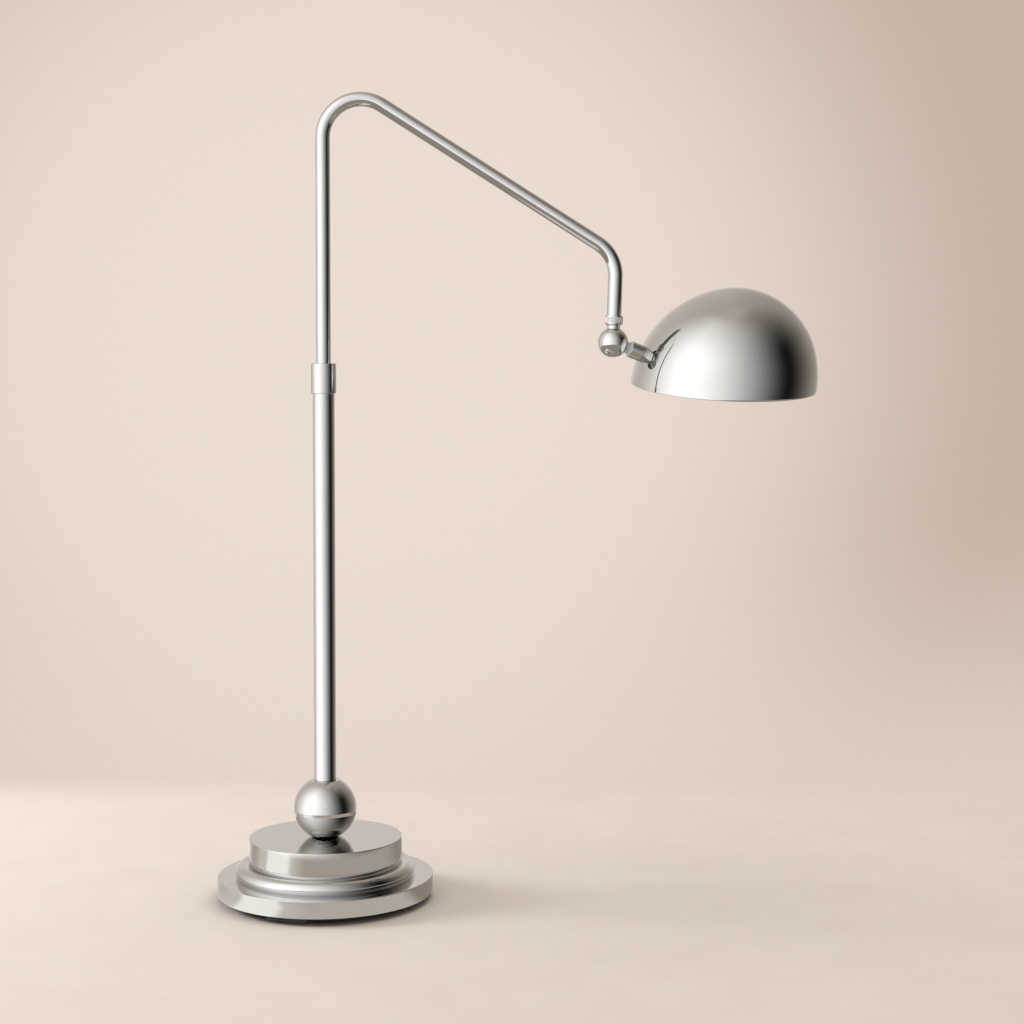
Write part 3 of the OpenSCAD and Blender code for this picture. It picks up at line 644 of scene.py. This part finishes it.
# ------------------------ rod_washer, rod_nut, hollow_rod, post_plug
# Brass rod through the ball with its washer, nut and plug: they clamp the base, ball and post together.
def turned_brass():
    material, tree, shader = finish("turned_brass", (0.72, 0.54, 0.27), 0.28, metal=1)
    place = on_piece(tree)
    tarnish = noise(tree, place, 120, 5, 0.6)
    dull = ramp(tree, tarnish, 0.35, 0.75)
    feed(shader, "Base Color", mixed(tree, dull, (0.74, 0.56, 0.28), (0.50, 0.36, 0.19)))
    feed(shader, "Roughness", ramp(tree, tarnish, 0.3, 0.8, 0.20, 0.42))
    return material


brass = turned_brass()
for name in ("rod_washer", "rod_nut", "hollow_rod", "post_plug"):
    dress(name, brass)


# ------------------------ post
# Straight nickel-plated tube that stands on the ball and holds the mast.
post_low, post_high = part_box("post")
post_r = post_high.x
post_wall = 1.2 * mm
post = turned("post_tube", rounded([
    (post_r, post_low.z, 0.3 * mm), (post_r, post_high.z, 0.3 * mm),
    (post_r - post_wall, post_high.z, 0.2 * mm), (post_r - post_wall, post_low.z, 0.2 * mm)]),
    plated, steps=192)
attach(post, "base")
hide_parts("post")


# ------------------------ guide_bush
# Ivory nylon bush in the mouth of the post, which the mast slides and turns in.
def ivory_nylon():
    material, tree, shader = finish("ivory_nylon", (0.82, 0.79, 0.70), 0.42)
    place = on_piece(tree)
    feed(shader, "Base Color", mixed(tree, noise(tree, place, 80), (0.79, 0.755, 0.66), (0.86, 0.83, 0.75)))
    shader.inputs["Subsurface Weight"].default_value = 0.1
    shader.inputs["Subsurface Scale"].default_value = 0.002
    return material


nylon = ivory_nylon()
dress("guide_bush", nylon)


# ------------------------ collar
# Plated collar screwed over the end of the post; its mouth leaves a hairline gap around the mast.
collar_low, collar_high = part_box("collar")
collar_r = collar_high.x
tube_r = 6.35 * mm
mouth_r = tube_r + 0.25 * mm
flange_top = post_high.z + 2 * mm
collar = turned("post_collar", rounded([
    (collar_r, collar_low.z, 0.5 * mm), (collar_r, collar_high.z, 0.7 * mm),
    (mouth_r, collar_high.z, 0.3 * mm), (mouth_r, flange_top, 0), (post_r, flange_top, 0),
    (post_r, collar_low.z, 0.3 * mm)]), plated, steps=192)
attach(collar, "base")
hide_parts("collar")


# ------------------------ grip_ring, slide_ring
# Rubber ring in the collar that holds the height by friction, and the nylon ring on the mast's foot.
dress("grip_ring", rubber)
dress("slide_ring", nylon)


# ------------------------ mast_tube
# One plated steel tube: upright, bent over into the arm, and bent down again at the end.
joints = {joint["name"]: joint for joint in frame["joints"]}
up = Vector(joints["head_swing"]["axis"]).normalized()
knuckle = Vector(joints["head_tilt"]["pos_m"])
knob_r = 13.15 * mm
knob_neck_r = 5.85 * mm
knob_neck_len = 2.8 * mm
play = 0.1 * mm
ferrule_floor = 2 * mm
seat_h = math.sqrt(knob_r ** 2 - knob_neck_r ** 2)
ball_drop = seat_h + knob_neck_len + play + ferrule_floor
tip = knuckle + up * ball_drop
bend_r = 33 * mm
bend_1 = math.radians(122.6)
arm_len = 221 * mm
mast_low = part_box("mast_tube")[0].z
reach = bend_r * math.tan(bend_1 / 2)
bend_2 = math.radians(59.5)
reach_2 = bend_r * math.tan(bend_2 / 2)
drop_len = 39.8 * mm
elbow_2 = tip + up * (drop_len + reach_2)
elbow_1 = elbow_2 - Vector((math.sin(bend_1), 0, math.cos(bend_1))) * (reach + arm_len + reach_2)


def bent_tube(name, corners, radius, bend, wall, material):
    """Round tube through its corners, bent to one radius, by Geometry Nodes; the wall goes inwards."""
    mesh = bpy.data.meshes.new(name)
    mesh.from_pydata(corners, [(i, i + 1) for i in range(len(corners) - 1)], [])
    mesh.materials.append(material)
    piece = bpy.data.objects.new(name, mesh)
    bpy.context.scene.collection.objects.link(piece)
    inputs = (("Corners", "Geometry"), ("Radius", "Float"), ("Bend", "Float"), ("Ring gap", "Float"),
              ("Finish", "Material"))
    tree, given, keys = shape_tree(name, inputs, "Tube")
    line = node(tree, "GeometryNodeMeshToCurve", {0: given["Corners"]})
    values = {"Curve": line.outputs[0], "Radius": given["Bend"], "Count": 72}
    bends = node(tree, "GeometryNodeFilletCurve", values, mode="POLY")
    here = node(tree, "GeometryNodeInputPosition").outputs[0]
    ahead = maths(tree, "ADD", node(tree, "GeometryNodeInputIndex").outputs[0], 1)
    there = node(tree, "GeometryNodeFieldAtIndex", {"Index": ahead, "Value": here}, data_type="FLOAT_VECTOR")
    span = node(tree, "ShaderNodeVectorMath", {0: here, 1: there.outputs[0]}, operation="DISTANCE")
    cuts = maths(tree, "FLOOR", maths(tree, "DIVIDE", span.outputs["Value"], given["Ring gap"]))
    evened = node(tree, "GeometryNodeSubdivideCurve", {"Curve": bends.outputs[0], "Cuts": cuts})
    values = {"Resolution": 96, "Radius": given["Radius"]}
    section = node(tree, "GeometryNodeCurvePrimitiveCircle", values)
    values = {"Curve": evened.outputs[0], "Profile Curve": section.outputs[0]}
    skin = node(tree, "GeometryNodeCurveToMesh", values)
    soft = node(tree, "GeometryNodeSetShadeSmooth", {"Geometry": skin.outputs[0]})
    values = {"Geometry": soft.outputs[0], "Material": given["Finish"]}
    coated = node(tree, "GeometryNodeSetMaterial", values)
    node(tree, "NodeGroupOutput", {0: coated.outputs[0]})
    run_tree(piece, tree, keys, {"Radius": radius, "Bend": bend, "Ring gap": 5 * mm, "Finish": material})
    shell = piece.modifiers.new("wall", "SOLIDIFY")
    shell.thickness = wall
    shell.offset = -1
    settle(piece)
    piece.data.set_sharp_from_angle(angle=math.radians(35))
    return piece


mast = bent_tube("bent_mast", [(0, 0, mast_low), elbow_1, elbow_2, tip], tube_r, bend_r, 1 * mm, plated)
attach(mast, "mast")
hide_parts("mast_tube")


# ------------------------ tube_clips, end_bush
# Spring clips that hold the slide ring on the mast, and the brass bush soldered in the mast's end.
def blued_spring():
    material, tree, shader = finish("blued_spring", (0.16, 0.17, 0.21), 0.35, metal=1)
    place = on_piece(tree)
    feed(shader, "Base Color", mixed(tree, noise(tree, place, 300), (0.12, 0.13, 0.18), (0.24, 0.23, 0.22)))
    return material


spring = blued_spring()
dress("tube_clips", spring)
dress("end_bush", brass)


# ------------------------ ferrule
# Small plated cap on the end of the mast, with upright ribs between two plain rims.
def standing(origin, z_axis, x_axis):
    """Matrix of a frame with its Z along z_axis and its X as near x_axis as it can be."""
    z = z_axis.normalized()
    y = z.cross(x_axis).normalized()
    return Matrix.Translation(origin) @ Matrix((y.cross(z), y, z)).transposed().to_4x4()


ferrule_r = 7.8 * mm
ferrule_h = 8.4 * mm
spigot_r = 4 * mm
at_tip = standing(tip - up * ferrule_floor, up, Vector((1, 0, 0)))
core_r = ferrule_r - 0.3 * mm
band_low = 2.3 * mm
band_high = ferrule_h - 1.5 * mm
ferrule = turned("mast_ferrule", rounded([
    (spigot_r, 0, 0.1 * mm), (ferrule_r - 1.2 * mm, 0, 0.3 * mm), (ferrule_r, 1.2 * mm, 0.3 * mm),
    (ferrule_r, band_low, 0.1 * mm), (core_r, band_low, 0), (core_r, band_high, 0),
    (ferrule_r, band_high, 0.1 * mm), (ferrule_r, ferrule_h, 0.35 * mm), (tube_r, ferrule_h, 0.15 * mm),
    (tube_r, ferrule_floor, 0), (spigot_r, ferrule_floor, 0)]), plated, steps=192)
rib = cylinder("rib", 0.45 * mm, band_low - 0.05 * mm, band_high + 0.05 * mm, plated, steps=16)
in_a_circle(rib, count=42, radius=core_r - 0.12 * mm, first=0)


def joined(piece, *others):
    """Makes the others part of the piece's mesh."""
    together = bmesh.new()
    for each in (piece, *others):
        together.from_mesh(each.data)
    together.to_mesh(piece.data)
    together.free()
    for each in others:
        bpy.data.objects.remove(each)
    piece.data.set_sharp_from_angle(angle=math.radians(35))


joined(ferrule, rib)
ferrule.data.transform(at_tip)
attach(ferrule, "mast")
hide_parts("ferrule")


# ------------------------ knuckle_ball
# Plated ball that swings under the mast, slotted so that the shade's stem can tilt up and down in it.
across = Vector(joints["head_tilt"]["axis"]).normalized()
at_knuckle = standing(knuckle, up, across.cross(up))
neck_top = seat_h + knob_neck_len
spigot_len = 16.8 * mm
spigot_top = ball_drop + spigot_len
spigot_turn_r = spigot_r - 0.05 * mm
knob_end = math.degrees(math.acos(knob_neck_r / knob_r))
knob = turned("knuckle", rounded([
    (0, -knob_r, 0), *arc((0, 0), knob_r, -89.5, knob_end, 150), (knob_neck_r, neck_top, 0.25 * mm),
    (spigot_turn_r, neck_top, 0.1 * mm), (spigot_turn_r, spigot_top, 0.3 * mm), (0, spigot_top, 0)],
    closed=False), plated, steps=256)
slot_half = 3.7 * mm
eye_r = 8.5 * mm
tongue_half = 5 * mm
slot_gap = 0.3 * mm
stem_slope = 18.3
tilt_low = math.radians(-stem_slope - 65)
tilt_high = math.radians(-stem_slope + 40)


def slot_cutter():
    """Blank of the slot: the eye's round with a fan between the two limits of the tilt."""
    half = tongue_half + slot_gap
    round_r = eye_r + slot_gap
    leave = math.sqrt(round_r ** 2 - half ** 2)
    far = 1.6 * knob_r
    high = Vector((math.cos(tilt_high), math.sin(tilt_high)))
    low = Vector((math.cos(tilt_low), math.sin(tilt_low)))
    high_side = Vector((-high.y, high.x)) * half
    low_side = Vector((low.y, -low.x)) * half
    start = math.atan2(*reversed(high * leave + high_side))
    end = math.atan2(*reversed(low * leave + low_side)) + 2 * math.pi
    outline = [high * far + high_side]
    outline += [Vector((math.cos(a), math.sin(a))) * round_r
                for a in [start + (end - start) * k / 48 for k in range(49)]]
    outline += [low * far + low_side, (high + low).normalized() * 2 * far]
    count = len(outline)
    verts = [(p.x, -slot_half, p.y) for p in outline] + [(p.x, slot_half, p.y) for p in outline]
    faces = [list(range(count))[::-1], list(range(count, 2 * count))]
    faces += [(i, (i + 1) % count, (i + 1) % count + count, i + count) for i in range(count)]
    cutter = new_piece("slot_blank", verts, faces, plated)
    form = bmesh.new()
    form.from_mesh(cutter.data)
    bmesh.ops.recalc_face_normals(form, faces=form.faces)
    form.to_mesh(cutter.data)
    form.free()
    return cutter


pivot_r = 2.5 * mm
pivot_head_r = 4.5 * mm
pivot_seat_r = pivot_head_r + 0.1 * mm
pivot_seat_depth = 2.4 * mm
cheek_y = math.sqrt(knob_r ** 2 - pivot_head_r ** 2) - pivot_seat_depth
along_pivot = Matrix.Rotation(-math.pi / 2, 4, "X")
cut(knob, slot_cutter())
cut(knob, cylinder("pivot_seat", pivot_seat_r, cheek_y, knob_r * 1.1, plated, along_pivot, 64))
knob.data.transform(at_knuckle)
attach(knob, "knuckle")
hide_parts("knuckle_ball")


# ------------------------ spigot_clip, pivot_washers
# Clip above the spigot inside the mast, and the two nylon washers beside the stem's eye.
dress("spigot_clip", spring)
dress("pivot_washers", nylon)


# ------------------------ pivot_screw
# Slotted screw through the cheeks of the ball; its head sits in a round seat at the back.
pivot_end = -cheek_y + 0.5 * mm
pivot_head_h = 2 * mm
pivot = turned("pivot_pin_screw", rounded([
    (0, pivot_end, 0), (pivot_r, pivot_end, 0.3 * mm), (pivot_r, cheek_y, 0),
    (pivot_head_r, cheek_y, 0.1 * mm), (pivot_head_r, cheek_y + pivot_head_h, 0.5 * mm),
    (0, cheek_y + pivot_head_h, 0)], closed=False), plated, steps=96)
cut(pivot, block("pivot_slot", (-6 * mm, -0.5 * mm, cheek_y + pivot_head_h - 0.9 * mm),
                 (6 * mm, 0.5 * mm, cheek_y + pivot_head_h + 1 * mm), plated))
pivot.data.transform(at_knuckle @ along_pivot)
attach(pivot, "knuckle")
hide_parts("pivot_screw")


# ------------------------ stem_tongue
# Flat plated tongue with an eye on the pivot screw, screwed into the barrel.
dress("stem_tongue", plated)


# ------------------------ barrel
# Plain plated sleeve between the tongue and the shade, in which the shade rolls.
stem = Vector(joints["shade_roll"]["axis"]).normalized()
at_stem = standing(knuckle, stem, stem.cross(across) * -1)
barrel_r = 7.25 * mm
barrel_start = 16 * mm
barrel_end = barrel_start + 11.8 * mm
spigot_bore_r = 3.5 * mm
spigot_bore_end = barrel_start + 6 * mm
nipple_bore_r = 5.1 * mm
barrel = turned("stem_barrel", rounded([
    (spigot_bore_r, barrel_start, 0.2 * mm), (barrel_r, barrel_start, 0.6 * mm),
    (barrel_r, barrel_end, 0.6 * mm), (nipple_bore_r, barrel_end, 0.2 * mm),
    (nipple_bore_r, spigot_bore_end, 0), (spigot_bore_r, spigot_bore_end, 0)]), plated, steps=192)
barrel.data.transform(at_stem)
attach(barrel, "stem")
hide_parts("barrel")


# ------------------------ saddle_washer
# Thin plated washer between the barrel and the shade, hollowed to the shade's curve.
key_axis = Vector(joints["switch_turn"]["axis"]).normalized()
turn = Matrix((stem, -key_axis, stem.cross(-key_axis))).transposed()
at_shade = Matrix.Translation(knuckle) @ turn.to_4x4()
dome_r = 79.8 * mm
dome_h = 89.7 * mm
tip_r = 72 * mm
shade_wall = 1.2 * mm
rim_slope = math.radians(20.2)
body_lean = math.radians(32.6) - rim_slope
side_r = (dome_r ** 2 + (dome_h - tip_r) ** 2 - tip_r ** 2) / (2 * (dome_r - tip_r))
side_x = dome_r - side_r
tip_y = dome_h - tip_r
saddle_start = barrel_end + play
saddle_t = 0.8 * mm
dome_reach = side_x * math.cos(body_lean) + math.sqrt(side_r ** 2 - (side_x * math.sin(body_lean)) ** 2)
dome_x = saddle_start + saddle_t + dome_reach
rim_normal = Vector((-math.sin(rim_slope), 0, math.cos(rim_slope)))
dome_axis = Vector((math.sin(body_lean), 0, math.cos(body_lean)))


def dome_depth(way, grow):
    """Distance from the dome's centre to its wall along a unit direction, for a wall grown by grow."""
    slope = way.angle(dome_axis)
    tip_way = tip_y * math.cos(slope) + math.sqrt((tip_r + grow) ** 2 - (tip_y * math.sin(slope)) ** 2)
    side_way = side_x * math.sin(slope) + math.sqrt((side_r + grow) ** 2 - (side_x * math.cos(slope)) ** 2)
    height = tip_way * math.cos(slope)
    meet_height = tip_y * (side_r + grow) / (side_r - tip_r)
    return tip_way if height > meet_height else side_way


dress("saddle_washer", plated)


# ------------------------ shade
# Deep spun dome, polished and plated outside and in, trimmed on a slant and with its edge rounded off.
def dome_shell(name, material):
    """Outer and inner walls as rings about the rim's normal, joined by a rounded edge in the rim's plane."""
    around = 288
    rows = 96
    edge = 0.5 * mm
    side = Vector((math.cos(rim_slope), 0, math.sin(rim_slope)))
    front = rim_normal.cross(side)
    centre = Vector((dome_x, 0, 0))
    last = math.pi / 2 - edge / dome_r
    verts = []
    rings = []

    def ring(place_of):
        rings.append(list(range(len(verts), len(verts) + around)))
        for k in range(around):
            a = 2 * math.pi * k / around
            verts.append(centre + place_of(side * math.cos(a) + front * math.sin(a)))

    def wall(grow, row):
        slope = last * row / rows

        def place_of(out):
            way = rim_normal * math.cos(slope) + out * math.sin(slope)
            return way * dome_depth(way, grow)
        return place_of

    def lip(step):
        turn = math.pi * step / 12

        def place_of(out):
            outer = out * dome_depth(out, 0)
            inner = out * dome_depth(out, -shade_wall)
            middle = (outer + inner) / 2 + rim_normal * edge
            half = (outer - inner) / 2
            return middle + half * math.cos(turn) - rim_normal * edge * math.sin(turn)
        return place_of

    verts.append(centre + rim_normal * dome_depth(rim_normal, 0))
    rings.append([0] * around)
    for row in range(1, rows + 1):
        ring(wall(0, row))
    for step in range(1, 12):
        ring(lip(step))
    for row in range(rows, 0, -1):
        ring(wall(-shade_wall, row))
    rings.append([len(verts)] * around)
    verts.append(centre + rim_normal * dome_depth(rim_normal, -shade_wall))
    return new_piece(name, verts, banded(zip(rings[1:], rings), around), material, crease=50)


shade = dome_shell("dome_shade", plated)
nipple_r = 5 * mm
along_stem = Matrix.Rotation(math.pi / 2, 4, "Y")
cut(shade, cylinder("nipple_hole", nipple_r, saddle_start, saddle_start + 12 * mm, plated, along_stem, 64),
    crease=50)
shade.data.transform(at_shade)
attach(shade, "head")
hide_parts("shade")


# ------------------------ shade_nipple, shade_nut, cup_nut
# Brass nipple through the shade with a nut inside it and one in the socket cup.
for name in ("shade_nipple", "shade_nut", "cup_nut"):
    dress(name, brass)


# ------------------------ socket_cup
# Drawn metal cup with a rolled mouth that holds the socket's insulator.
nut_seat = 0.9 * mm
nut_h = 3 * mm
cup_start = dome_x - dome_reach + shade_wall + nut_seat + nut_h + play
cup_r = 12.5 * mm
cup_wall = 1 * mm
cup_len = 26 * mm
key_x = cup_start + cup_len / 2
key_shaft_r = 1.5 * mm
socket_cup = turned("socket_shell", rounded([
    (nipple_r, cup_start, 0), (cup_r, cup_start, 2 * mm), (cup_r, cup_start + cup_len, 0.45 * mm),
    (cup_r - cup_wall, cup_start + cup_len, 0.45 * mm), (cup_r - cup_wall, cup_start + cup_wall, 1 * mm),
    (nipple_r, cup_start + cup_wall, 0)]), plated, place=along_stem, steps=192)
along_key = Matrix.Translation((key_x, 0, 0)) @ Matrix.Rotation(math.pi / 2, 4, "X")
cut(socket_cup, cylinder("key_hole", key_shaft_r + 0.05 * mm, 0, cup_r + 2 * mm, plated, along_key))
socket_cup.data.transform(at_shade)
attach(socket_cup, "head")
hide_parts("socket_cup")


# ------------------------ socket_insulator, centre_contact, bulb_base
# Glazed white insulator with its brass contact, and the bulb's screw base inside it.
def glazed_white():
    material, tree, shader = finish("glazed_white", (0.86, 0.85, 0.81), 0.18)
    place = on_piece(tree)
    feed(shader, "Base Color", mixed(tree, noise(tree, place, 200), (0.83, 0.815, 0.77), (0.89, 0.88, 0.85)))
    shader.inputs["Coat Weight"].default_value = 0.4
    shader.inputs["Coat Roughness"].default_value = 0.08
    return material


def pressed_metal():
    material, tree, shader = finish("pressed_metal", (0.75, 0.74, 0.72), 0.3, metal=1)
    place = on_piece(tree)
    feed(shader, "Roughness", ramp(tree, noise(tree, place, 400, 4), 0.3, 0.7, 0.22, 0.4))
    return material


dress("socket_insulator", glazed_white())
dress("centre_contact", brass)
dress("bulb_base", pressed_metal())


# ------------------------ bulb_glass
# Frosted glass of a small candle-base bulb.
def frosted_glass():
    material, tree, shader = finish("frosted_glass", (0.93, 0.92, 0.89), 0.45)
    place = on_piece(tree)
    frost = noise(tree, place, 1500, 3)
    feed(shader, "Roughness", ramp(tree, frost, 0.3, 0.7, 0.40, 0.52))
    shader.inputs["Transmission Weight"].default_value = 0.35
    shader.inputs["Subsurface Weight"].default_value = 0.3
    shader.inputs["Subsurface Scale"].default_value = 0.004
    shader.inputs["IOR"].default_value = 1.45
    return material


nipple_past_nut = 0.6 * mm
insulator_gap = 0.4 * mm
insulator_len = 22 * mm
glass_gap = 0.2 * mm
glass_start = cup_start + cup_wall + nut_h + nipple_past_nut + insulator_gap + insulator_len + glass_gap
glass_neck_r = 6.25 * mm
bulb_r = 9.5 * mm
bulb_len = 36 * mm
bulb_wall = 0.8 * mm
round_z = glass_start + bulb_len - bulb_r
bulb = turned("bulb_envelope", rounded([
    (glass_neck_r, glass_start, 0.3 * mm), (glass_neck_r, glass_start + 1.5 * mm, 1 * mm),
    (bulb_r, glass_start + 6 * mm, 3 * mm), *arc((0, round_z), bulb_r, 0, 89.9, 40), (0, round_z + bulb_r, 0),
    (0, round_z + bulb_r - bulb_wall, 0), *arc((0, round_z), bulb_r - bulb_wall, 89.9, 0, 40),
    (bulb_r - bulb_wall, glass_start + 6 * mm, 3 * mm),
    (glass_neck_r - bulb_wall, glass_start + 1.5 * mm, 1 * mm),
    (glass_neck_r - bulb_wall, glass_start, 0.2 * mm)]), frosted_glass(), place=along_stem, steps=128)
bulb.data.transform(at_shade)
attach(bulb, "head")
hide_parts("bulb_glass")


# ------------------------ switch_key
# Moulded black key on the side of the socket that turns the lamp on and off.
def satin_plastic():
    material, tree, shader = finish("satin_plastic", (0.028, 0.027, 0.026), 0.36)
    place = on_piece(tree)
    raised(tree, shader, noise(tree, place, 1800, 2), 0.2, 0.0001)
    feed(shader, "Roughness", ramp(tree, noise(tree, place, 150, 3), 0.3, 0.7, 0.30, 0.44))
    return material


key_reach = 13 * mm
key_w = 10 * mm
key_t = 2 * mm
key_grip_len = 8 * mm
key_end = cup_r + key_reach
plastic = satin_plastic()
key_shaft = turned("key_shaft", rounded([
    (0, cup_r - 3 * mm, 0), (key_shaft_r, cup_r - 3 * mm, 0.2 * mm),
    (key_shaft_r, key_end - key_grip_len / 2, 0), (0, key_end - key_grip_len / 2, 0)], closed=False),
    plastic, steps=48)


def key_grip():
    """Flat grip with round corners and bevelled edges."""
    corners = [(-key_w / 2, key_end - key_grip_len, 2 * mm), (key_w / 2, key_end - key_grip_len, 2 * mm),
               (key_w / 2, key_end, 2.5 * mm), (-key_w / 2, key_end, 2.5 * mm)]
    outline = rounded(corners)
    count = len(outline)
    verts = [(p.x, -key_t / 2, p.y) for p in outline] + [(p.x, key_t / 2, p.y) for p in outline]
    faces = [list(range(count)), list(range(count, 2 * count))[::-1]]
    faces += [(i + count, (i + 1) % count + count, (i + 1) % count, i) for i in range(count)]
    grip = new_piece("key_grip", verts, faces, plastic)
    soften = grip.modifiers.new("edges", "BEVEL")
    soften.width = 0.5 * mm
    soften.segments = 4
    soften.limit_method = "ANGLE"
    settle(grip)
    return grip


switch_key = key_shaft
switch_key.name = "rotary_switch_key"
joined(switch_key, key_grip())
switch_key.data.transform(at_shade @ along_key)
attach(switch_key, "switch")
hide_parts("switch_key")
